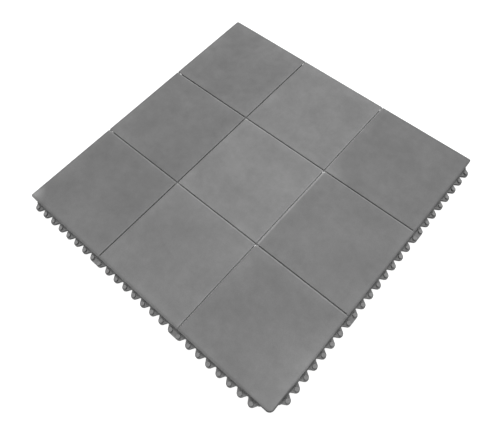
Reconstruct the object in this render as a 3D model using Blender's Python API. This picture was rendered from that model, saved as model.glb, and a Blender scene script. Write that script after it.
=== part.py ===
"""Interlocking anti-fatigue floor mat, built from a cushion base and nine tread panels.

The mat lies on the floor at z = 0, and its origin is the centre of the 3 x 3 grid of treads.
Mats join on a square grid, and each mat's square of that grid ends at HALF from the origin. The treads
reach EDGE_SHIFT past that square on the lug edges and stop as far short of it on the flap edges, so the
treads of two joined mats meet at a narrow seam.
The lower half of its thickness is the cushion base. It stands on studs, and on the front (-Y) and
right (+X) edges it reaches past the treads as a row of lugs, each with a round peg on top.
The upper half is nine square tread panels, bonded to the base between low ribs. A round post rises from
the ribs at each crossing of two grooves.
On the back (+Y) and left (-X) edges the treads overhang the base. That flap laps over the lugs of
the next mat, whose pegs enter a channel in the flap's underside.
"""

import math

import bmesh
import bpy
from mathutils import Vector

MM = 0.001

# Grid of treads
PITCH = 304.8 * MM
PANELS = 3
HALF = PITCH * PANELS / 2
GROOVE = 3.0 * MM
FIT_GAP = 0.3 * MM
EDGE_SHIFT = 2.5 * MM
LUG_SIDE = HALF - FIT_GAP / 2 + EDGE_SHIFT
FLAP_SIDE = HALF - FIT_GAP / 2 - EDGE_SHIFT

# Plan radii of a tread's corners: at a groove, at the mat's corners, and between its two lug edges
TREAD_CORNER = 3.0 * MM
MAT_CORNER = 6.0 * MM
LUG_CORNER = 14.0 * MM

# Levels above the floor
THICKNESS = 19.0 * MM
BASE_TOP = 9.0 * MM
PLATE_UNDERSIDE = 4.5 * MM
RIB_TOP = 14.6 * MM
POST_TOP = 18.2 * MM
POST_RADIUS = 2.8 * MM
POST_SIDES = 8
TREAD_BOTTOM = BASE_TOP + FIT_GAP

# Rounded edges of a tread, as widths and drops: along the outside of the mat, and along a groove
SHOULDER = (6.0 * MM, 2.5 * MM)
GROOVE_ROUND = (1.2 * MM, 1.2 * MM)
ROUND_STEPS = 3
CORNER_STEPS = 3

# Lug edges, with distances outward from the edge of the mat's square
LUG_PITCH = 34.7 * MM
LUGS_EACH_WAY = 4
LUG_REACH = 20.5 * MM
LUG_TIP_RADIUS = 10.5 * MM
LUG_ROOT_RADIUS = 4.0 * MM
LEDGE = 5.0 * MM
LUG_TIP_STEPS = 6
LUG_ROOT_STEPS = 2
PEG_OFFSET = 13.0 * MM
PEG_RADIUS = 5.5 * MM
PEG_HEIGHT = 6.5 * MM
PEG_SIDES = 12
PEG_CHAMFER = 0.8 * MM

# Flap edges, with distances inward from the edge of the mat's square
FLAP = 24.2 * MM
CHANNEL_WIDTH = 12.4 * MM
CHANNEL_DEPTH = 7.1 * MM
CHANNEL_END = 34.0 * MM

# Underside of the base
RIM = 6.2 * MM
STUD_SPACING = PITCH / 6
STUD_TOP_RADIUS = 17.0 * MM
STUD_FOOT_RADIUS = 13.0 * MM
STUD_SIDES = 8

EMBED = 0.5 * MM
RUBBER_COLOUR = (0.23, 0.23, 0.23, 1.0)
RUBBER_ROUGHNESS = 0.8


def clear_scene():
    for item in list(bpy.data.objects):
        bpy.data.objects.remove(item, do_unlink=True)


def rubber(name, shade):
    material = bpy.data.materials.new(name)
    material.use_nodes = True
    surface = material.node_tree.nodes["Principled BSDF"]
    surface.inputs["Base Color"].default_value = [c * shade for c in RUBBER_COLOUR[:3]] + [1.0]
    surface.inputs["Roughness"].default_value = RUBBER_ROUGHNESS
    surface.inputs["Metallic"].default_value = 0.0
    return material


def add_object(name, mesh_data, material=None):
    mesh = bpy.data.meshes.new(name)
    bmesh.ops.recalc_face_normals(mesh_data, faces=mesh_data.faces)
    mesh_data.to_mesh(mesh)
    mesh_data.free()
    item = bpy.data.objects.new(name, mesh)
    bpy.context.scene.collection.objects.link(item)
    if material:
        mesh.materials.append(material)
    return item


def add_cutter(name, mesh_data):
    cutter = add_object(name, mesh_data)
    cutter.hide_render = True
    cutter.display_type = "WIRE"
    return cutter


def combine(item, cutter, operation):
    step = item.modifiers.new(cutter.name, "BOOLEAN")
    step.operation = operation
    step.object = cutter
    step.solver = "EXACT"


def add_prism(mesh_data, ring, direction):
    """Extrude a closed ring of points along a vector, with a cap at each end."""
    start = [mesh_data.verts.new(point) for point in ring]
    end = [mesh_data.verts.new(Vector(point) + Vector(direction)) for point in ring]
    mesh_data.faces.new(start)
    mesh_data.faces.new(list(reversed(end)))
    for i in range(len(ring)):
        j = (i + 1) % len(ring)
        mesh_data.faces.new((start[j], start[i], end[i], end[j]))


def add_box(mesh_data, low, high):
    ring = [(low[0], low[1], low[2]), (high[0], low[1], low[2]),
            (high[0], high[1], low[2]), (low[0], high[1], low[2])]
    add_prism(mesh_data, ring, (0, 0, high[2] - low[2]))


def panel_centres():
    return [(i - (PANELS - 1) / 2) * PITCH for i in range(PANELS)]


def groove_centres():
    return [(i - PANELS / 2) * PITCH for i in range(1, PANELS)]


def lug_groups():
    """Lugs along one edge, as lists of tip positions: one tip, or two where lugs join at a groove."""
    groups = []
    for centre in panel_centres():
        single = range(1 - LUGS_EACH_WAY, LUGS_EACH_WAY)
        groups += [[centre + k * LUG_PITCH] for k in single]
    for groove in groove_centres():
        to_tip = PITCH / 2 - LUGS_EACH_WAY * LUG_PITCH
        groups.append([groove - to_tip, groove + to_tip])
    return sorted(groups)


def lug_outline(tips):
    """Outline of one lug as (along, outward) points, from the middle of the gap before it.

    Half of the gap's round root leads to a straight flank, then the rounded tip with its one or two
    corners, the other flank, and the root that ends just before the middle of the next gap.
    """
    tip_out = LUG_REACH - LUG_TIP_RADIUS
    root_out = LEDGE + LUG_ROOT_RADIUS
    across = LUG_PITCH / 2
    up = tip_out - root_out
    both_radii = LUG_TIP_RADIUS + LUG_ROOT_RADIUS
    flank = math.atan2(up, across) + math.asin(both_radii / math.hypot(across, up))
    root = []
    for step in range(LUG_ROOT_STEPS + 1):
        turn = flank * step / LUG_ROOT_STEPS
        root.append((LUG_ROOT_RADIUS * math.sin(turn), root_out - LUG_ROOT_RADIUS * math.cos(turn)))

    points = [(tips[0] - across + along, out) for along, out in root]
    for step in range(LUG_TIP_STEPS + 1):
        angle = math.pi / 2 + flank * (1 - 2 * step / LUG_TIP_STEPS)
        tip = tips[0] if step <= LUG_TIP_STEPS // 2 else tips[-1]
        points.append((tip + LUG_TIP_RADIUS * math.cos(angle), tip_out + LUG_TIP_RADIUS * math.sin(angle)))
        if step == LUG_TIP_STEPS // 2 and len(tips) > 1:
            points.append((tips[-1], LUG_REACH))
    points += [(tips[-1] + across - along, out) for along, out in reversed(root[1:])]
    return points


def base_outline():
    """Anticlockwise outline of the base, seen from above."""
    groups = lug_groups()
    edge = [point for tips in groups for point in lug_outline(tips)]
    edge.append((groups[-1][-1] + LUG_PITCH / 2, LEDGE))
    front = [(along, -HALF - out) for along, out in edge]
    right = [(HALF + out, along) for along, out in edge]
    back = HALF - FLAP
    ledge_end = edge[-1][0]
    tuck = HALF + LEDGE - (back - ledge_end)
    return front + right + [(tuck, back), (-back, back), (-back, -tuck)]


def rib_profile():
    """Side view of a rib, as (along, up) points from its lug edge to its flap edge.

    The rib fills the bottom of a groove. At the lug edge it rises to the treads' own rounded shoulder,
    which ends the groove there. At the flap edge it runs on as a tongue between the overhanging treads.
    """
    start = -LUG_SIDE
    width, drop = SHOULDER
    tongue_end = FLAP_SIDE - GROOVE_ROUND[0]
    points = [(start, BASE_TOP - EMBED)]
    for step in range(ROUND_STEPS + 1):
        angle = math.pi / 2 * step / ROUND_STEPS
        points.append((start + width * (1 - math.cos(angle)), THICKNESS - drop * (1 - math.sin(angle))))
    points.append((start + width, RIB_TOP))
    points.append((tongue_end, RIB_TOP))
    points.append((tongue_end, TREAD_BOTTOM))
    points.append((HALF - FLAP, TREAD_BOTTOM))
    points.append((HALF - FLAP, BASE_TOP - EMBED))
    return points


def stud_positions():
    """Staggered rows: every second place on a square net, so a stud stands at each panel's centre."""
    reach = int(PANELS * PITCH / 2 / STUD_SPACING) - 1
    return [(i * STUD_SPACING, j * STUD_SPACING)
            for i in range(-reach, reach + 1)
            for j in range(-reach, reach + 1)
            if (i + j) % 2 == 0]


def make_recess():
    data = bmesh.new()
    side = HALF - FLAP - RIM
    add_box(data, (-side, -side, -EMBED), (side, side, PLATE_UNDERSIDE))
    return add_cutter("guide_recess", data)


def make_studs():
    data = bmesh.new()
    height = PLATE_UNDERSIDE + EMBED
    for x, y in stud_positions():
        made = bmesh.ops.create_cone(data, cap_ends=True, segments=STUD_SIDES, radius1=STUD_FOOT_RADIUS,
                                     radius2=STUD_TOP_RADIUS, depth=height)
        bmesh.ops.translate(data, verts=made["verts"], vec=(x, y, height / 2))
    return add_cutter("guide_studs", data)


def peg_positions():
    along = [tip for tips in lug_groups() for tip in tips]
    out = HALF + PEG_OFFSET
    return [(a, -out) for a in along] + [(out, a) for a in along]


def make_pegs():
    """Round pegs with a chamfered top rim, sunk a little into the lugs that carry them."""
    data = bmesh.new()
    bottom = BASE_TOP - EMBED
    levels = [(PEG_RADIUS, bottom), (PEG_RADIUS, BASE_TOP + PEG_HEIGHT - PEG_CHAMFER),
              (PEG_RADIUS - PEG_CHAMFER, BASE_TOP + PEG_HEIGHT)]
    turns = [2 * math.pi * i / PEG_SIDES for i in range(PEG_SIDES)]
    for x, y in peg_positions():
        rings = []
        for radius, z in levels:
            places = [(x + radius * math.cos(a), y + radius * math.sin(a), z) for a in turns]
            rings.append([data.verts.new(point) for point in places])
        data.faces.new(rings[0])
        data.faces.new(rings[-1])
        for low, high in zip(rings, rings[1:]):
            for i in range(PEG_SIDES):
                j = (i + 1) % PEG_SIDES
                data.faces.new((low[i], low[j], high[j], high[i]))
    return add_cutter("guide_pegs", data)


def make_ribs(name, lengthwise):
    """The ribs of one direction. Lengthwise ribs run along Y, the others along X."""
    data = bmesh.new()
    width = GROOVE - 2 * FIT_GAP
    for centre in groove_centres():
        if lengthwise:
            ring = [(centre - width / 2, along, up) for along, up in rib_profile()]
            add_prism(data, ring, (width, 0, 0))
        else:
            ring = [(-along, centre - width / 2, up) for along, up in rib_profile()]
            add_prism(data, ring, (0, width, 0))
    return add_cutter(name, data)


def make_posts():
    """Posts that fill the crossings of the grooves almost to the treads' tops."""
    data = bmesh.new()
    turns = [2 * math.pi * i / POST_SIDES for i in range(POST_SIDES)]
    bottom = RIB_TOP - EMBED
    for x in groove_centres():
        for y in groove_centres():
            ring = [(x + POST_RADIUS * math.cos(a), y + POST_RADIUS * math.sin(a), bottom) for a in turns]
            add_prism(data, ring, (0, 0, POST_TOP - bottom))
    return add_cutter("guide_posts", data)


def make_cushion_base():
    data = bmesh.new()
    add_prism(data, [(x, y, 0) for x, y in base_outline()], (0, 0, BASE_TOP))
    base = add_object("cushion_base", data, rubber("base_rubber", 0.9))
    combine(base, make_recess(), "DIFFERENCE")
    combine(base, make_studs(), "UNION")
    combine(base, make_ribs("guide_ribs_lengthwise", True), "UNION")
    combine(base, make_ribs("guide_ribs_crosswise", False), "UNION")
    combine(base, make_posts(), "UNION")
    combine(base, make_pegs(), "UNION")
    return base


def tread_ring(limits, rounds, corners, angle):
    """One level of a tread's outline, anticlockwise seen from above.

    limits are the places of the tread's +X, +Y, -X and -Y sides, rounds are the (width, drop) of their
    rounded edges, and corners are the plan radii where each side meets the next one. angle runs from 0
    on the upright walls to a right angle on the flat top, and on the way each side moves inward and up
    along its own quarter ellipse. The points of a corner blend its two sides.
    """
    outward = (1, 1, -1, -1)
    inset = [width * (1 - math.cos(angle)) for width, drop in rounds]
    height = [THICKNESS - drop * (1 - math.sin(angle)) for width, drop in rounds]
    points = []
    for side, radius in enumerate(corners):
        after = (side + 1) % 4
        x_side, y_side = (side, after) if side % 2 == 0 else (after, side)
        x = limits[x_side] - outward[x_side] * (radius + inset[x_side])
        y = limits[y_side] - outward[y_side] * (radius + inset[y_side])
        for step in range(CORNER_STEPS + 1):
            share = step / CORNER_STEPS
            turn = math.pi / 2 * (side + share)
            points.append((x + radius * math.cos(turn), y + radius * math.sin(turn),
                           height[side] * (1 - share) + height[after] * share))
    return points


def tread_limits(row, column):
    """Places of a tread's +X, +Y, -X and -Y sides, and which of them are on the outside of the mat."""
    last = PANELS - 1
    x = panel_centres()[column]
    y = panel_centres()[row]
    reach = (PITCH - GROOVE) / 2
    outside = (column == last, row == last, column == 0, row == 0)
    at_groove = (x + reach, y + reach, x - reach, y - reach)
    at_edge = (LUG_SIDE, FLAP_SIDE, -FLAP_SIDE, -LUG_SIDE)
    return [edge if out else groove for out, edge, groove in zip(outside, at_edge, at_groove)], outside


def corner_radii(outside):
    """Plan radii of a tread's corners, each between one of its sides and the next."""
    radii = [MAT_CORNER if outside[i] and outside[(i + 1) % 4] else TREAD_CORNER for i in range(4)]
    if outside[3] and outside[0]:
        radii[3] = LUG_CORNER
    return radii


def make_tread(row, column, shade):
    """One tread. Rows count from the front edge and columns from the left edge."""
    limits, outside = tread_limits(row, column)
    rounds = [SHOULDER if out else GROOVE_ROUND for out in outside]
    corners = corner_radii(outside)

    angles = [math.pi / 2 * i / ROUND_STEPS for i in range(ROUND_STEPS + 1)]
    levels = [tread_ring(limits, rounds, corners, angle) for angle in angles]
    foot = [(x, y, TREAD_BOTTOM) for x, y, z in levels[0]]
    data = bmesh.new()
    rings = [[data.verts.new(point) for point in level] for level in [foot] + levels]
    data.faces.new(rings[0])
    data.faces.new(rings[-1])
    for lower, upper in zip(rings, rings[1:]):
        for i in range(len(lower)):
            j = (i + 1) % len(lower)
            data.faces.new((lower[i], lower[j], upper[j], upper[i]))
    name = f"{row + 1}_{column + 1}"
    return add_object(f"tread_panel_{name}", data, rubber(f"tread_rubber_{name}", shade))


def make_channels():
    """Cutters for the two channels that take the next mats' pegs."""
    reach = HALF - CHANNEL_END
    inner = HALF - PEG_OFFSET - CHANNEL_WIDTH / 2
    outer = HALF - PEG_OFFSET + CHANNEL_WIDTH / 2
    bottom = TREAD_BOTTOM - EMBED
    top = TREAD_BOTTOM + CHANNEL_DEPTH
    back = bmesh.new()
    add_box(back, (-reach, inner, bottom), (reach, outer, top))
    left = bmesh.new()
    add_box(left, (-outer, -reach, bottom), (-inner, reach, top))
    return add_cutter("guide_channel_back", back), add_cutter("guide_channel_left", left)


def make_treads():
    back_channel, left_channel = make_channels()
    for row in range(PANELS):
        for column in range(PANELS):
            shade = 1.0 + 0.04 * ((row + column) % 2)
            tread = make_tread(row, column, shade)
            if row == PANELS - 1:
                combine(tread, back_channel, "DIFFERENCE")
            if column == 0:
                combine(tread, left_channel, "DIFFERENCE")


clear_scene()
make_cushion_base()
make_treads()
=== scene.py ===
"""Looks of an interlocking anti-fatigue rubber mat: nine tread panels on a cushion base with lug edges.

Lengths are in metres. The mat lies on the floor at z = 0, and its origin is the middle of its grid of
treads. Front is -Y and right is +X, the two lug edges. Back and left are the two flap edges.
"""

import math

import bmesh
import bpy
import numpy as np
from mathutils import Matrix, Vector, noise


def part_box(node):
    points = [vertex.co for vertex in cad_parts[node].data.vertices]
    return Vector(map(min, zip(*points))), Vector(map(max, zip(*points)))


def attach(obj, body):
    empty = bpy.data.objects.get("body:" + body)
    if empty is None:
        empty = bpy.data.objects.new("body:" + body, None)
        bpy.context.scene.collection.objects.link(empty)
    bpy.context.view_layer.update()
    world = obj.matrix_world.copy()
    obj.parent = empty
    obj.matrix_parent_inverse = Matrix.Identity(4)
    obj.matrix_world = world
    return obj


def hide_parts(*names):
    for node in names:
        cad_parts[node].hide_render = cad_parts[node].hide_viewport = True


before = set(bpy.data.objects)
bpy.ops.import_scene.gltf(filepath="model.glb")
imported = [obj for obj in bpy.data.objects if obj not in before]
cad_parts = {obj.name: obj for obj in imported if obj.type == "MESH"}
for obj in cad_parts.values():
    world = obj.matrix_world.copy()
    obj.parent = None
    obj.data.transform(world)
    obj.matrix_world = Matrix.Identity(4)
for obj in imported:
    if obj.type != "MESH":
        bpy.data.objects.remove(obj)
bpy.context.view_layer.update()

MM = 0.001

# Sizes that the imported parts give
PANELS = 3
MIDDLE_LOW, MIDDLE_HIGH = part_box("tread_panel_2_2")
BASE_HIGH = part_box("cushion_base")[1]
CORNER_LOW, CORNER_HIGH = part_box("tread_panel_1_1")
GROOVE = MIDDLE_LOW.x - CORNER_HIGH.x
PITCH = MIDDLE_HIGH.x - MIDDLE_LOW.x + GROOVE
HALF = PITCH * PANELS / 2
LUG_SIDE = -CORNER_LOW.y
FLAP_SIDE = -CORNER_LOW.x
THICKNESS = MIDDLE_HIGH.z
TREAD_BOTTOM = MIDDLE_LOW.z
LUG_REACH = BASE_HIGH.x - HALF

# Sizes of the base, and of the flap treads' channels, that no box shows
GAP = 0.3 * MM
BASE_TOP = TREAD_BOTTOM - GAP
PLATE_UNDERSIDE = 4.5 * MM
RIB_TOP = 14.6 * MM
POST_TOP = 18.2 * MM
POST_RADIUS = 2.8 * MM
POST_ROUND = (0.9 * MM, 0.6 * MM)
FLAP = 24.2 * MM
TONGUE_SHORT = 1.2 * MM
RIM = 6.2 * MM
RECESS_CORNER = 6.0 * MM
LEDGE = 5.0 * MM
LUG_PITCH = 34.7 * MM
LUGS_EACH_WAY = 4
LUG_TIP_RADIUS = 10.5 * MM
LUG_ROOT_RADIUS = 4.0 * MM
LUG_ROUND = 1.6 * MM
LUG_TIP_STEPS = 14
LUG_ROOT_STEPS = 5
PEG_OFFSET = 13.0 * MM
PEG_RADIUS = 5.5 * MM
PEG_TOP = BASE_TOP + 6.5 * MM
PEG_RIM = 1.4 * MM
PEG_ROOT = 0.5 * MM
DIMPLE_RADIUS = 1.6 * MM
DIMPLE_DEPTH = 0.35 * MM
STUD_SPACING = PITCH / 6
STUD_TOP_RADIUS = 17.0 * MM
STUD_FOOT_RADIUS = 13.0 * MM
STUD_ROUND = 1.2 * MM
CHANNEL_WIDTH = 12.4 * MM
CHANNEL_TOP = TREAD_BOTTOM + 7.1 * MM
CHANNEL_END = 34.0 * MM
EMBED = 0.5 * MM

# Edges of the treads: rounded edges as widths and drops, then the radii of the corners in plan, of which
# the last is the corner between the two lug edges
SHOULDER = (6.0 * MM, 2.5 * MM)
GROOVE_ROUND = (2.4 * MM, 1.2 * MM)
TREAD_FOOT_ROUND = 0.8 * MM
TREAD_CORNER = 2.8 * MM
MAT_CORNER = 6.0 * MM
LUG_CORNER = 14.0 * MM
ARC_STEPS = 8
CORNER_STEPS = 8
SIDE_STEPS = 44

# How far moulded rubber strays from true, and how wide the bumps are
TOP_WAVE = 0.22 * MM
EDGE_WAVE = 0.18 * MM
WIDE_BUMPS = 0.11
SMALL_BUMPS = 0.045
EDGE_BUMPS = 0.05

# Angles beyond which an edge is shaded sharp, in degrees
SHARP = 40
BASE_SHARP = 35
TREAD_SHARP = 60


# ---------------------------------------------------------------- mesh helpers

def add_object(name, data, sharp_angle=SHARP):
    mesh = bpy.data.meshes.new(name)
    bmesh.ops.recalc_face_normals(data, faces=data.faces)
    data.to_mesh(mesh)
    data.free()
    shade(mesh, sharp_angle)
    item = bpy.data.objects.new(name, mesh)
    bpy.context.scene.collection.objects.link(item)
    return item


def shade(mesh, sharp_angle):
    mesh.shade_smooth()
    mesh.set_sharp_from_angle(angle=math.radians(sharp_angle))


def loft(data, rings):
    """Skin a stack of closed rings that have as many points each, with a cap at both ends."""
    levels = [[data.verts.new(point) for point in ring] for ring in rings]
    for lower, upper in zip(levels, levels[1:]):
        for i in range(len(lower)):
            j = (i + 1) % len(lower)
            data.faces.new((lower[i], lower[j], upper[j], upper[i]))
    data.faces.new(list(reversed(levels[0])))
    data.faces.new(levels[-1])
    return levels


def add_box(data, low, high):
    ring = [(low[0], low[1]), (high[0], low[1]), (high[0], high[1]), (low[0], high[1])]
    loft(data, [[(x, y, z) for x, y in ring] for z in (low[2], high[2])])


def turned(data, centre, profile, sides):
    """A round solid from a profile of (radius, z), from its bottom to its top."""
    rings = []
    x, y = centre
    turns = [2 * math.pi * i / sides for i in range(sides)]
    for radius, z in profile:
        rings.append([(x + radius * math.cos(turn), y + radius * math.sin(turn), z) for turn in turns])
    loft(data, rings)


def apply_steps(item, steps, sharp_angle):
    """Combine an object with others by exact Booleans, keep the result as its mesh, drop the others."""
    for other, operation in steps:
        modifier = item.modifiers.new(other.name, "BOOLEAN")
        modifier.operation = operation
        modifier.object = other
        modifier.solver = "EXACT"
    graph = bpy.context.evaluated_depsgraph_get()
    result = bpy.data.meshes.new_from_object(item.evaluated_get(graph))
    item.modifiers.clear()
    old = item.data
    item.data = result
    bpy.data.meshes.remove(old)
    for other, _ in steps:
        bpy.data.objects.remove(other, do_unlink=True)
    shade(item.data, sharp_angle)


def rounded_corners(corners, step_angle=math.radians(11)):
    """Points of a closed outline given as (x, y, radius) corners, with an arc at each corner."""
    points = []
    for i, (x, y, radius) in enumerate(corners):
        corner = Vector((x, y))
        back = Vector(corners[i - 1][:2]) - corner
        ahead = Vector(corners[(i + 1) % len(corners)][:2]) - corner
        back.normalize()
        ahead.normalize()
        half = back.angle(ahead) / 2
        start = corner + back * radius / math.tan(half)
        middle = corner + (back + ahead).normalized() * radius / math.sin(half)
        sweep = math.pi - 2 * half
        left_turn = back.x * ahead.y - back.y * ahead.x < 0
        steps = max(1, math.ceil(sweep / step_angle))
        arm = start - middle
        for step in range(steps + 1):
            turn = sweep * step / steps * (1 if left_turn else -1)
            points.append((middle.x + arm.x * math.cos(turn) - arm.y * math.sin(turn),
                           middle.y + arm.x * math.sin(turn) + arm.y * math.cos(turn)))
    return points


def inset(points, distance):
    """An anticlockwise outline moved inward, each point along the mean of its two edges' normals."""
    line = np.array(points)
    edge = np.roll(line, -1, axis=0) - line
    edge /= np.linalg.norm(edge, axis=1)[:, None]
    normal = np.stack((-edge[:, 1], edge[:, 0]), axis=1)
    mean = normal + np.roll(normal, 1, axis=0)
    mean /= np.linalg.norm(mean, axis=1)[:, None]
    stretch = (mean * normal).sum(axis=1)
    return line + mean * (distance / stretch)[:, None]


def quarter_arc(width, steps, drop=None):
    """(inset, drop) pairs of a rounded edge, from the upright wall to the flat top."""
    drop = width if drop is None else drop
    angles = [math.pi / 2 * i / steps for i in range(steps + 1)]
    return [(width * (1 - math.cos(a)), drop * (1 - math.sin(a))) for a in angles]


def wave(x, y, size, seed):
    """Smooth noise from about -1 to 1, whose bumps are about size across."""
    return noise.noise(Vector((x / size, y / size, seed * 7.31)))


# ---------------------------------------------------------------- the grid of treads

def panel_centres():
    return [(i - (PANELS - 1) / 2) * PITCH for i in range(PANELS)]


def groove_centres():
    return [(i - PANELS / 2) * PITCH for i in range(1, PANELS)]


def crossings():
    return [(x, y) for x in groove_centres() for y in groove_centres()]


def tread_ring(limits, rounds, corners, angle):
    """One level of a tread's outline, as the CAD part has it, with points along its sides as well.

    limits are the places of the +X, +Y, -X and -Y sides, rounds the (width, drop) of their rounded edges
    and corners the plan radii where each side meets the next. angle runs from 0 on the upright walls to
    a right angle on the flat top.
    """
    outward = (1, 1, -1, -1)
    inward = [width * (1 - math.cos(angle)) for width, drop in rounds]
    height = [THICKNESS - drop * (1 - math.sin(angle)) for width, drop in rounds]
    arcs = []
    for side, corner in enumerate(corners):
        after = (side + 1) % 4
        x_side, y_side = (side, after) if side % 2 == 0 else (after, side)
        x = limits[x_side] - outward[x_side] * (corner + inward[x_side])
        y = limits[y_side] - outward[y_side] * (corner + inward[y_side])
        arc = []
        for step in range(CORNER_STEPS + 1):
            share = step / CORNER_STEPS
            blend = share * share * (3 - 2 * share)
            turn = math.pi / 2 * (side + share)
            arc.append(Vector((x + corner * math.cos(turn), y + corner * math.sin(turn),
                               height[side] * (1 - blend) + height[after] * blend)))
        arcs.append(arc)
    points = []
    for side in range(4):
        points += arcs[side]
        start = arcs[side][-1]
        end = arcs[(side + 1) % 4][0]
        points += [start.lerp(end, i / SIDE_STEPS) for i in range(1, SIDE_STEPS)]
    half_corner = CORNER_STEPS // 2
    return points[half_corner:] + points[:half_corner]


def fill_top(data, ring):
    """Close a ring with a grid of quads whose four corners are the middles of the ring's corners."""
    count = len(ring) // 4
    far, left = ring[0:count + 1], ring[count:2 * count + 1]
    near, right = ring[2 * count:3 * count + 1], ring[3 * count:] + ring[:1]
    bottom = near
    top = list(reversed(far))
    west = list(reversed(left))
    east = right
    grid = [[None] * (count + 1) for _ in range(count + 1)]
    for i in range(count + 1):
        grid[0][i] = bottom[i]
        grid[count][i] = top[i]
        grid[i][0] = west[i]
        grid[i][count] = east[i]
    corners = [grid[0][0].co, grid[0][count].co, grid[count][0].co, grid[count][count].co]
    for j in range(1, count):
        v = j / count
        for i in range(1, count):
            u = i / count
            place = (grid[0][i].co * (1 - v) + grid[count][i].co * v
                     + grid[j][0].co * (1 - u) + grid[j][count].co * u
                     - corners[0] * (1 - u) * (1 - v) - corners[1] * u * (1 - v)
                     - corners[2] * (1 - u) * v - corners[3] * u * v)
            grid[j][i] = data.verts.new(place)
    for j in range(count):
        for i in range(count):
            data.faces.new((grid[j][i], grid[j][i + 1], grid[j + 1][i + 1], grid[j + 1][i]))


def tread_limits(row, column):
    """Places of a tread's +X, +Y, -X and -Y sides, and which of them are on the outside of the mat."""
    last = PANELS - 1
    x = panel_centres()[column]
    y = panel_centres()[row]
    reach = (PITCH - GROOVE) / 2
    outside = (column == last, row == last, column == 0, row == 0)
    at_groove = (x + reach, y + reach, x - reach, y - reach)
    at_edge = (LUG_SIDE, FLAP_SIDE, -FLAP_SIDE, -LUG_SIDE)
    return [edge if out else groove for out, edge, groove in zip(outside, at_edge, at_groove)], outside


def corner_radii(outside):
    """Plan radii of a tread's corners, each between one of its sides and the next."""
    radii = [MAT_CORNER if outside[i] and outside[(i + 1) % 4] else TREAD_CORNER for i in range(4)]
    if outside[3] and outside[0]:
        radii[3] = LUG_CORNER
    return radii


def make_tread(row, column):
    """A tread panel, counted from the front edge and from the left edge."""
    limits, outside = tread_limits(row, column)
    rounds = [SHOULDER if out else GROOVE_ROUND for out in outside]
    corners = corner_radii(outside)
    angles = [math.pi / 2 * i / ARC_STEPS for i in range(ARC_STEPS + 1)]
    rings = [tread_ring(limits, rounds, corners, angle) for angle in angles]
    outline = [(p.x, p.y) for p in rings[0]]
    foot = []
    for inward, up in reversed(quarter_arc(TREAD_FOOT_ROUND, 3)):
        foot.append([Vector((px, py, TREAD_BOTTOM + up)) for px, py in inset(outline, inward)])
    data = bmesh.new()
    levels = [[data.verts.new(point) for point in ring] for ring in foot + rings]
    for lower, upper in zip(levels, levels[1:]):
        for i in range(len(lower)):
            j = (i + 1) % len(lower)
            data.faces.new((lower[i], lower[j], upper[j], upper[i]))
    data.faces.new(list(reversed(levels[0])))
    fill_top(data, levels[-1])

    seed = row * PANELS + column
    for vertex in data.verts:
        place = vertex.co
        up = (place.z - TREAD_BOTTOM) / (THICKNESS - TREAD_BOTTOM)
        lift = wave(place.x, place.y, WIDE_BUMPS, seed)
        lift += 0.5 * wave(place.x, place.y, SMALL_BUMPS, seed + 20)
        sway_x = wave(place.x, place.y, EDGE_BUMPS, seed + 40)
        sway_y = wave(place.x, place.y, EDGE_BUMPS, seed + 60)
        vertex.co = place + Vector((sway_x * EDGE_WAVE * up, sway_y * EDGE_WAVE * up, lift * TOP_WAVE * up))
    return add_object(f"tread_{row + 1}_{column + 1}_rubber", data, TREAD_SHARP)


def channel_cutters(row, column):
    """Cutters for the channels in a flap tread's underside that take the next mats' pegs."""
    reach = HALF - CHANNEL_END
    inner = HALF - PEG_OFFSET - CHANNEL_WIDTH / 2
    outer = inner + CHANNEL_WIDTH
    bottom = TREAD_BOTTOM - EMBED
    cutters = []
    if row == PANELS - 1:
        data = bmesh.new()
        add_box(data, (-reach, inner, bottom), (reach, outer, CHANNEL_TOP))
        cutters.append((add_object("back_channel", data), "DIFFERENCE"))
    if column == 0:
        data = bmesh.new()
        add_box(data, (-outer, -reach, bottom), (-inner, reach, CHANNEL_TOP))
        cutters.append((add_object("left_channel", data), "DIFFERENCE"))
    return cutters


# ---------------------------------------------------------------- the cushion base

def lug_groups():
    """Lugs along one edge, as lists of tip positions: one tip, or two where lugs join at a groove."""
    groups = []
    for centre in panel_centres():
        groups += [[centre + k * LUG_PITCH] for k in range(1 - LUGS_EACH_WAY, LUGS_EACH_WAY)]
    to_tip = PITCH / 2 - LUGS_EACH_WAY * LUG_PITCH
    groups += [[groove - to_tip, groove + to_tip] for groove in groove_centres()]
    return sorted(groups)


def lug_outline(tips):
    """Outline of one lug as (along, outward) points, from the middle of the gap before it.

    It has half a round root, a straight flank and the rounded tip with its one or two corners, then the
    same backwards, and it stops just before the middle of the next gap.
    """
    tip_out = LUG_REACH - LUG_TIP_RADIUS
    root_out = LEDGE + LUG_ROOT_RADIUS
    across = LUG_PITCH / 2
    up = tip_out - root_out
    both_radii = LUG_TIP_RADIUS + LUG_ROOT_RADIUS
    flank = math.atan2(up, across) + math.asin(both_radii / math.hypot(across, up))
    root = []
    for step in range(LUG_ROOT_STEPS + 1):
        turn = flank * step / LUG_ROOT_STEPS
        root.append((LUG_ROOT_RADIUS * math.sin(turn), root_out - LUG_ROOT_RADIUS * math.cos(turn)))

    points = [(tips[0] - across + along, out) for along, out in root]
    for step in range(LUG_TIP_STEPS + 1):
        angle = math.pi / 2 + flank * (1 - 2 * step / LUG_TIP_STEPS)
        tip = tips[0] if step <= LUG_TIP_STEPS // 2 else tips[-1]
        points.append((tip + LUG_TIP_RADIUS * math.cos(angle), tip_out + LUG_TIP_RADIUS * math.sin(angle)))
        if step == LUG_TIP_STEPS // 2 and len(tips) > 1:
            points.append((tips[-1], LUG_REACH))
    points += [(tips[-1] + across - along, out) for along, out in reversed(root[1:])]
    return points


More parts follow.
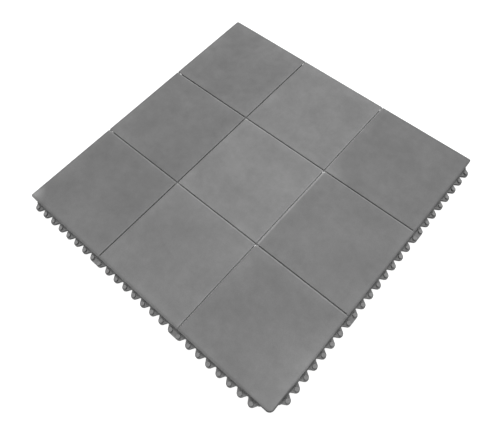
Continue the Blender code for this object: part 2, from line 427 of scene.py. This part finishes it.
def base_outline():
    """Anticlockwise outline of the base, seen from above."""
    groups = lug_groups()
    edge = [point for tips in groups for point in lug_outline(tips)]
    edge.append((groups[-1][-1] + LUG_PITCH / 2, LEDGE))
    front = [(along, -HALF - out) for along, out in edge]
    right = [(HALF + out, along) for along, out in edge]
    back = HALF - FLAP
    tuck = HALF + LEDGE - (back - edge[-1][0])
    return front + right + [(tuck, back), (-back, back), (-back, -tuck)]


def make_plate():
    """The plate with its lugs, solid down to the floor until the recess is cut."""
    outline = base_outline()
    low = [(i, d) for i, d in reversed(quarter_arc(LUG_ROUND / 2, 3))]
    high = [(i, BASE_TOP - d) for i, d in quarter_arc(LUG_ROUND, 5)]
    data = bmesh.new()
    loft(data, [[(x, y, z) for x, y in inset(outline, inward)] for inward, z in low + high])
    return add_object("cushion_base_rubber", data)


def make_pegs():
    """Round pegs with a soft root, a rounded rim and a shallow dimple in the top."""
    data = bmesh.new()
    profile = [(PEG_RADIUS + PEG_ROOT, BASE_TOP - EMBED)]
    profile += [(PEG_RADIUS + i, BASE_TOP + d) for i, d in reversed(quarter_arc(PEG_ROOT, 3))]
    profile += [(PEG_RADIUS - i, PEG_TOP - d) for i, d in quarter_arc(PEG_RIM, 4)]
    profile += [(DIMPLE_RADIUS + 0.5 * MM, PEG_TOP), (DIMPLE_RADIUS, PEG_TOP - DIMPLE_DEPTH / 2),
                (DIMPLE_RADIUS - 0.6 * MM, PEG_TOP - DIMPLE_DEPTH)]
    along = [tip for tips in lug_groups() for tip in tips]
    out = HALF + PEG_OFFSET
    for centre in [(a, -out) for a in along] + [(out, a) for a in along]:
        turned(data, centre, profile, 24)
    return add_object("pegs", data)


def rib_profile():
    """Side view of a rib, as (along, up) points: a stop at the lug edge, a low run, a flap tongue."""
    start = -LUG_SIDE
    width, drop = SHOULDER
    points = [(start, BASE_TOP - EMBED)]
    points += [(start + i, THICKNESS - d) for i, d in quarter_arc(width, ARC_STEPS, drop)]
    tongue_end = FLAP_SIDE - TONGUE_SHORT
    points += [(start + width, RIB_TOP), (tongue_end, RIB_TOP), (tongue_end, TREAD_BOTTOM)]
    points += [(HALF - FLAP, TREAD_BOTTOM), (HALF - FLAP, BASE_TOP - EMBED)]
    return points


def make_ribs(name, lengthwise):
    """The ribs that fill the grooves, either those along Y or those along X."""
    data = bmesh.new()
    half = GROOVE / 2 - GAP
    for centre in groove_centres():
        sides = (centre - half, centre + half)
        if lengthwise:
            rings = [[(side, along, up) for along, up in rib_profile()] for side in sides]
        else:
            rings = [[(-along, side, up) for along, up in rib_profile()] for side in sides]
        loft(data, rings)
    return add_object(name, data)


def make_posts():
    """Low domed posts that fill the crossings of the grooves."""
    data = bmesh.new()
    profile = [(POST_RADIUS, RIB_TOP - EMBED)]
    profile += [(POST_RADIUS - i, POST_TOP - d) for i, d in quarter_arc(POST_ROUND[0], 4, POST_ROUND[1])]
    for crossing in crossings():
        turned(data, crossing, profile, 20)
    return add_object("posts", data)


def make_recess():
    """Cutter for the hollow under the plate."""
    data = bmesh.new()
    side = HALF - FLAP - RIM
    corners = [(-side, -side), (side, -side), (side, side), (-side, side)]
    outline = rounded_corners([(x, y, RECESS_CORNER) for x, y in corners])
    loft(data, [[(x, y, z) for x, y in outline] for z in (-EMBED, PLATE_UNDERSIDE)])
    return add_object("recess", data)


def make_studs():
    """Tapered studs on every other place of a square grid."""
    data = bmesh.new()
    profile = [(STUD_FOOT_RADIUS - i, d) for i, d in reversed(quarter_arc(STUD_ROUND, 3))]
    profile += [(STUD_TOP_RADIUS, PLATE_UNDERSIDE + EMBED)]
    reach = int(HALF / STUD_SPACING) - 1
    for i in range(-reach, reach + 1):
        for j in range(-reach, reach + 1):
            if (i + j) % 2 == 0:
                turned(data, (i * STUD_SPACING, j * STUD_SPACING), profile, 20)
    return add_object("studs", data)


def make_base():
    base = make_plate()
    steps = [(make_recess(), "DIFFERENCE"), (make_studs(), "UNION"),
             (make_ribs("ribs_lengthwise", True), "UNION"), (make_ribs("ribs_crosswise", False), "UNION"),
             (make_posts(), "UNION"), (make_pegs(), "UNION")]
    apply_steps(base, steps, BASE_SHARP)
    return base


# ---------------------------------------------------------------- materials

def feed(links, socket, value):
    if isinstance(value, bpy.types.NodeSocket):
        links.new(value, socket)
    else:
        socket.default_value = value


def maths(nodes, links, operation, a, b=0.0):
    node = nodes.new("ShaderNodeMath")
    node.operation = operation
    feed(links, node.inputs[0], a)
    feed(links, node.inputs[1], b)
    return node.outputs[0]


def product(nodes, links, *values):
    result = values[0]
    for value in values[1:]:
        result = maths(nodes, links, "MULTIPLY", result, value)
    return result


def coordinates(nodes, links, place):
    """The X, Y and Z of a place."""
    split = nodes.new("ShaderNodeSeparateXYZ")
    links.new(place, split.inputs[0])
    return split.outputs["X"], split.outputs["Y"], split.outputs["Z"]


def distance(nodes, links, place, spot):
    node = nodes.new("ShaderNodeVectorMath")
    node.operation = "DISTANCE"
    links.new(place, node.inputs[0])
    node.inputs[1].default_value = spot
    return node.outputs["Value"]


def spread(nodes, links, value, start, stop, low, high, smooth=False):
    """Maps start..stop to low..high, and holds the ends beyond them."""
    node = nodes.new("ShaderNodeMapRange")
    node.interpolation_type = "SMOOTHSTEP" if smooth else "LINEAR"
    feed(links, node.inputs["Value"], value)
    for name, number in (("From Min", start), ("From Max", stop), ("To Min", low), ("To Max", high)):
        node.inputs[name].default_value = number
    return node.outputs["Result"]


def noise_map(nodes, links, vector, scale, detail, low, high):
    """Noise in object space, stretched so that its usual range covers low to high."""
    texture = nodes.new("ShaderNodeTexNoise")
    texture.inputs["Scale"].default_value = scale
    texture.inputs["Detail"].default_value = detail
    texture.inputs["Roughness"].default_value = 0.55
    links.new(vector, texture.inputs["Vector"])
    return spread(nodes, links, texture.outputs["Fac"], 0.3, 0.7, low, high)


def light_and_shade_by_height(nodes, links, height, stops):
    """A factor that follows (height, factor) stops, which paints light and shade by height."""
    ramp = nodes.new("ShaderNodeValToRGB")
    elements = ramp.color_ramp.elements
    while len(elements) < len(stops):
        elements.new(0.5)
    for element, (level, factor) in zip(elements, stops):
        element.position = level / THICKNESS
        element.color = (factor / 2, factor / 2, factor / 2, 1)
    feed(links, ramp.inputs["Fac"], maths(nodes, links, "DIVIDE", height, THICKNESS))
    return maths(nodes, links, "MULTIPLY", ramp.outputs["Color"], 2.0)


def rim_factor(nodes, links, place, limits, bands):
    """A paler tone near a tread's edges, and a band of painted highlight or painted shade along each of its
    sides.

    limits are the places of the +X, +Y, -X and -Y sides. bands are their (strength, outer, inner): a band
    is full out to the distance outer from the side, and ends at the distance inner.
    """
    x, y, _ = coordinates(nodes, links, place)
    nearest = None
    factors = []
    for limit, axis, sign, band in zip(limits, (x, y, x, y), (1, 1, -1, -1), bands):
        strength, outer, inner = band
        gap = maths(nodes, links, "MULTIPLY", maths(nodes, links, "SUBTRACT", limit, axis), sign)
        nearest = gap if nearest is None else maths(nodes, links, "MINIMUM", nearest, gap)
        factors.append(spread(nodes, links, gap, outer, inner, strength, 1.0, smooth=True))
    factors.append(spread(nodes, links, nearest, *PALING_REACH, EDGE_PALING, 1.0, smooth=True))
    return product(nodes, links, *factors)


def groove_light_factor(nodes, links, place, line, strength):
    """Painted light on the floor of the groove along X = line, paler than its shade."""
    x, _, z = coordinates(nodes, links, place)
    aside = maths(nodes, links, "ABSOLUTE", maths(nodes, links, "SUBTRACT", x, line))
    above = maths(nodes, links, "ABSOLUTE", maths(nodes, links, "SUBTRACT", z, RIB_TOP))
    near = spread(nodes, links, aside, *GROOVE_LIGHT_ASIDE, 1.0, 0.0)
    level = spread(nodes, links, above, *GROOVE_LIGHT_ABOVE, 1.0, 0.0)
    extra = product(nodes, links, near, level, strength - 1)
    return maths(nodes, links, "ADD", extra, 1.0)


def patch_factor(nodes, links, place, spot, radius, strength):
    """A soft pale or dark patch around a spot, also used for painted highlights."""
    gap = distance(nodes, links, place, spot)
    return spread(nodes, links, gap, 0.0, radius, strength, 1.0, smooth=True)


def corner_shade_factor(nodes, links, place, spot, radius, strength):
    """Painted shade on a tread's walls and outermost shoulder, full near a spot and gone at a radius."""
    z = coordinates(nodes, links, place)[2]
    low = spread(nodes, links, z, *CORNER_SHADE_HEIGHTS, 1.0, 0.0)
    gap = distance(nodes, links, place, spot)
    near = spread(nodes, links, gap, radius / 2, radius, 1.0, 0.0, smooth=True)
    loss = product(nodes, links, low, near, strength - 1)
    return maths(nodes, links, "ADD", loss, 1.0)


def rubber(name, tone, seed, heights, rim=None, patches_and_highlights=(), groove_light=None, corner_shade=None):
    """Matte moulded rubber: a neutral grey of that tone with clouds, mottling, grain and fine pebbling.

    heights are the stops of the factor by height, which paints light and shade. The last four arguments are
    those of rim_factor, of a patch_factor for each pale or dark patch and painted highlight, of the factor
    for painted light on a groove's floor and of the factor for painted shade at a corner.
    """
    material = bpy.data.materials.new(name)
    material.use_nodes = True
    nodes = material.node_tree.nodes
    links = material.node_tree.links
    surface = nodes["Principled BSDF"]
    place = nodes.new("ShaderNodeTexCoord").outputs["Object"]
    shift = nodes.new("ShaderNodeMapping")
    shift.inputs["Location"].default_value = (seed * 3.7, seed * 1.9, seed * 0.7)
    links.new(place, shift.inputs["Vector"])
    vector = shift.outputs["Vector"]

    clouds = noise_map(nodes, links, vector, *CLOUDS)
    mottling = noise_map(nodes, links, vector, *MOTTLING)
    grain = noise_map(nodes, links, vector, *GRAIN)
    z = coordinates(nodes, links, place)[2]
    factors = [tone, clouds, mottling, grain, light_and_shade_by_height(nodes, links, z, heights)]
    if rim:
        factors.append(rim_factor(nodes, links, place, *rim))
    for spot, radius, strength in patches_and_highlights:
        factors.append(patch_factor(nodes, links, place, spot, radius, strength))
    if groove_light:
        factors.append(groove_light_factor(nodes, links, place, *groove_light))
    if corner_shade:
        factors.append(corner_shade_factor(nodes, links, place, *corner_shade))
    value = product(nodes, links, *factors)
    grey = nodes.new("ShaderNodeCombineColor")
    for channel in grey.inputs:
        links.new(value, channel)
    links.new(grey.outputs[0], surface.inputs["Base Color"])

    links.new(noise_map(nodes, links, vector, *ROUGHNESS), surface.inputs["Roughness"])
    surface.inputs["Specular IOR Level"].default_value = 0.3

    pebbles = nodes.new("ShaderNodeBump")
    pebbles.inputs["Strength"].default_value = 0.35
    pebbles.inputs["Distance"].default_value = 0.08 * MM
    links.new(noise_map(nodes, links, vector, *PEBBLES), pebbles.inputs["Height"])
    dents = nodes.new("ShaderNodeBump")
    dents.inputs["Strength"].default_value = 0.5
    dents.inputs["Distance"].default_value = 0.5 * MM
    links.new(noise_map(nodes, links, vector, *DENTS), dents.inputs["Height"])
    links.new(pebbles.outputs["Normal"], dents.inputs["Normal"])
    links.new(dents.outputs["Normal"], surface.inputs["Normal"])
    return material


# Noise maps of the rubber, as their scale, detail, low and high
CLOUDS = (8, 3, 0.91, 1.09)
MOTTLING = (45, 3, 0.95, 1.05)
GRAIN = (700, 2, 0.9, 1.1)
ROUGHNESS = (30, 4, 0.62, 0.8)
PEBBLES = (1400, 2, 0, 1)
DENTS = (28, 3, 0, 1)

# Tone of each tread, by row from the front and column from the left, and its factors by height, which paint
# the treads' walls paler as painted fill light
TREAD_TONES = ((0.1655, 0.192, 0.181),
               (0.169, 0.215, 0.183),
               (0.1725, 0.212, 0.1725))
TREAD_WALL_LIGHT = ((14 * MM, 1.1), (17 * MM, 1.0))

# Paler tone near the treads' edges: its strength, and the distances from the side where it is full and ends
EDGE_PALING = 1.06
PALING_REACH = (6 * MM, 34 * MM)

# Edge bands of the treads, each as its strength and such distances, in the order +X, +Y, -X and -Y. Those at
# grooves are painted highlights, those at the mat's edges painted shade on the outer shoulders
GROOVE_HIGHLIGHT_BANDS = ((1.12, 2.5 * MM, 6 * MM), (1.34, 2.5 * MM, 5 * MM), (1.0, 2 * MM, 5 * MM),
                (1.04, 1.5 * MM, 4 * MM))
OUTER_SHADE_BANDS = ((0.82, 1.5 * MM, 5.5 * MM), (0.9, 4.5 * MM, 8 * MM), (0.9, 4.5 * MM, 8 * MM),
               (0.84, 4 * MM, 8 * MM))
# A strong and a soft band of painted highlight, and a band of painted shade
STRONG_HIGHLIGHT_BAND = (1.55, 3 * MM, 6 * MM)
SOFT_HIGHLIGHT_BAND = (1.12, 3 * MM, 6 * MM)
SHADE_BAND = (0.88, 1 * MM, 3 * MM)

# Pale and dark patches by row and column, each as its middle from the tread's own middle, its
# radius and its strength. The first is the pale left corner, and the last of (0, 2) the pale right edge
PATCHES = {
    (0, 0): ((-145 * MM, -141 * MM, 42 * MM, 1.8), (60 * MM, -152 * MM, 130 * MM, 1.1),
             (-152 * MM, -40 * MM, 80 * MM, 1.12), (-60 * MM, -20 * MM, 70 * MM, 0.94)),
    (0, 1): ((-140 * MM, -10 * MM, 120 * MM, 0.9), (100 * MM, 120 * MM, 100 * MM, 1.06)),
    (0, 2): ((-80 * MM, 20 * MM, 70 * MM, 0.93), (155 * MM, -60 * MM, 200 * MM, 1.24)),
    (1, 0): ((70 * MM, -150 * MM, 110 * MM, 0.86), (-30 * MM, 140 * MM, 70 * MM, 0.9)),
    (1, 1): ((-152 * MM, -60 * MM, 130 * MM, 0.89), (110 * MM, 40 * MM, 130 * MM, 1.08),
             (40 * MM, -152 * MM, 70 * MM, 0.9)),
    (1, 2): ((50 * MM, 130 * MM, 120 * MM, 0.9), (-140 * MM, -10 * MM, 60 * MM, 1.07)),
    (2, 0): ((20 * MM, -150 * MM, 120 * MM, 0.86), (40 * MM, 130 * MM, 130 * MM, 1.11),
             (-152 * MM, 40 * MM, 60 * MM, 1.14)),
    (2, 1): ((-152 * MM, 60 * MM, 90 * MM, 0.92), (-120 * MM, -152 * MM, 80 * MM, 0.93)),
    (2, 2): ((-140 * MM, -150 * MM, 90 * MM, 1.22), (-152 * MM, 60 * MM, 70 * MM, 1.1)),
}

# Painted shade on the walls and shoulders at the corner between the lug edges, as its spot, radius and
# strength.
# It thins out between two heights on the shoulder
CORNER_SHADE_HEIGHTS = (17.9 * MM, 18.7 * MM)
CORNER_SHADE = ((LUG_SIDE, -LUG_SIDE, TREAD_BOTTOM), 110 * MM, 0.4)

# Painted highlight at each groove crossing: on the tread's corner to its front right, and on the rib right
# and in front
CORNER_OFFSET = 3.5 * MM
CORNER_HIGHLIGHT = (7.5 * MM, 1.28)
RIB_OFFSET = 5 * MM
RIB_HIGHLIGHT = (5.5 * MM, 3.6)

# The base: darker below and on the pegs' sides as painted shade, paler on the lugs, the pegs' tops and along
# the groove floors as painted light
BASE_TONE = 0.15
BASE_SEED = 20
BASE_LIGHT_AND_SHADE = ((7 * MM, 0.4), (8.9 * MM, 1.5), (9.4 * MM, 0.45), (13.4 * MM, 0.4), (14.5 * MM, 1.5),
                (15.4 * MM, 1.5), (18.2 * MM, 0.8), (18.7 * MM, 1.25))

# Painted light on a groove's floor: its strength, and where it ends beside the groove's middle and above or
# below the ribs
GROOVE_LIGHT = 2.8
GROOVE_LIGHT_ASIDE = (1.6 * MM, 2.6 * MM)
GROOVE_LIGHT_ABOVE = (0.3 * MM, 0.8 * MM)


# ---------------------------------------------------------------- building

def put_on_frame(piece, node_name, material):
    piece.data.materials.clear()
    piece.data.materials.append(material)
    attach(piece, "root")
    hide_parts(node_name)


def tread_patches_and_highlight(row, column):
    """A tread's patches, and the painted highlight on its corner where that lies to the front right of a
    crossing.
    """
    spots = []
    for aside, ahead, radius, strength in PATCHES[row, column]:
        middle = (panel_centres()[column] + aside, panel_centres()[row] + ahead, THICKNESS)
        spots.append((middle, radius, strength))
    if row < PANELS - 1 and column > 0:
        x = groove_centres()[column - 1] + CORNER_OFFSET
        y = groove_centres()[row] - CORNER_OFFSET
        spots.append(((x, y, THICKNESS), *CORNER_HIGHLIGHT))
    return spots


def rib_highlights():
    """Painted highlights on the ribs, just right of each crossing and just in front of it."""
    right = [((x + RIB_OFFSET, y, RIB_TOP), *RIB_HIGHLIGHT) for x, y in crossings()]
    front = [((x, y - RIB_OFFSET, RIB_TOP), *RIB_HIGHLIGHT) for x, y in crossings()]
    return right + front


def edge_bands(row, column):
    """The bands of painted highlight and painted shade along a tread's +X, +Y, -X and -Y sides."""
    limits, outside = tread_limits(row, column)
    bands = [edge if out else groove for out, edge, groove in zip(outside, OUTER_SHADE_BANDS, GROOVE_HIGHLIGHT_BANDS)]
    # Painted highlights on the -X sides of the right column's middle and back treads, painted shade along
    # the back row's front sides
    if (row, column) == (1, 2):
        bands[2] = STRONG_HIGHLIGHT_BAND
    if (row, column) == (2, 2):
        bands[2] = SOFT_HIGHLIGHT_BAND
    if row == PANELS - 1:
        bands[3] = SHADE_BAND
    return limits, bands


def build_mat():
    """All ten pieces. The base's material has another seed than the treads', which count from 0."""
    # Painted light on the floor of the groove between the middle and right columns
    lit_groove = (groove_centres()[-1], GROOVE_LIGHT)
    base_material = rubber("base_rubber", BASE_TONE, BASE_SEED, BASE_LIGHT_AND_SHADE, None, rib_highlights(), lit_groove)
    put_on_frame(make_base(), "cushion_base", base_material)
    for row in range(PANELS):
        for column in range(PANELS):
            tread = make_tread(row, column)
            cutters = channel_cutters(row, column)
            if cutters:
                apply_steps(tread, cutters, TREAD_SHARP)
            name = f"{row + 1}_{column + 1}"
            # Painted shade at the corner between the two lug edges
            corner_shade = CORNER_SHADE if (row, column) == (0, PANELS - 1) else None
            material = rubber(f"tread_rubber_{name}", TREAD_TONES[row][column], row * PANELS + column,
                              TREAD_WALL_LIGHT, edge_bands(row, column), tread_patches_and_highlight(row, column), None, corner_shade)
            put_on_frame(tread, f"tread_panel_{name}", material)


# ---------------------------------------------------------------- stage, light and camera

FLOOR_REACH = 60.0
SKY_STRENGTH = 0.24


def make_floor():
    """A white floor that glows a little, so that it stays white under the mat's soft shadow."""
    data = bmesh.new()
    reach = FLOOR_REACH
    corners = [(-reach, -reach, 0), (reach, -reach, 0), (reach, reach, 0), (-reach, reach, 0)]
    data.faces.new([data.verts.new(corner) for corner in corners])
    floor = add_object("studio_floor", data)
    material = bpy.data.materials.new("studio_white")
    material.use_nodes = True
    surface = material.node_tree.nodes["Principled BSDF"]
    surface.inputs["Base Color"].default_value = (0.5, 0.5, 0.5, 1)
    surface.inputs["Roughness"].default_value = 0.9
    surface.inputs["Specular IOR Level"].default_value = 0.1
    surface.inputs["Emission Color"].default_value = (1, 1, 1, 1)
    surface.inputs["Emission Strength"].default_value = 0.8
    floor.data.materials.append(material)


def add_sun(name, toward_light, energy, softness):
    data = bpy.data.lights.new(name, "SUN")
    data.energy = energy
    data.angle = math.radians(softness)
    lamp = bpy.data.objects.new(name, data)
    lamp.rotation_euler = (-Vector(toward_light)).to_track_quat("-Z", "Y").to_euler()
    bpy.context.scene.collection.objects.link(lamp)


def make_lights():
    """A broad key from behind the left back corner, a softer fill from the front, and a sky that is white
    at the horizon and greyer overhead."""
    add_sun("key_behind", (-0.85, 1.0, 1.6), 1.75, 30)
    add_sun("fill_front", (1.0, -0.9, 1.6), 0.8, 60)
    world = bpy.data.worlds.new("studio")
    bpy.context.scene.world = world
    world.use_nodes = True
    nodes = world.node_tree.nodes
    links = world.node_tree.links
    upward = coordinates(nodes, links, nodes.new("ShaderNodeTexCoord").outputs["Generated"])[2]
    strength = spread(nodes, links, upward, 0.3, 0.7, 1.0, SKY_STRENGTH, smooth=True)
    links.new(strength, nodes["Background"].inputs["Strength"])
    nodes["Background"].inputs["Color"].default_value = (1, 1, 1, 1)


def make_camera():
    """A camera a little over a metre up, off the right front corner, aimed near the middle and tilted."""
    data = bpy.data.cameras.new("camera")
    data.sensor_width = 36.0
    data.lens = 34.73
    data.shift_x = -0.0008
    data.shift_y = 0.0008
    camera = bpy.data.objects.new("camera", data)
    bpy.context.scene.collection.objects.link(camera)
    location = Vector((0.5207, -0.5303, THICKNESS + 1.2054))
    aim = Vector((0.0866, -0.1009, THICKNESS))
    roll = math.radians(-4.84)
    turn = (aim - location).to_track_quat("-Z", "Y").to_matrix().to_4x4()
    camera.matrix_world = turn
    camera.location = location
    camera.rotation_euler.rotate_axis("Z", roll)
    bpy.context.scene.camera = camera


build_mat()
make_floor()
make_lights()
make_camera()
bpy.context.scene.view_settings.view_transform = "Standard"
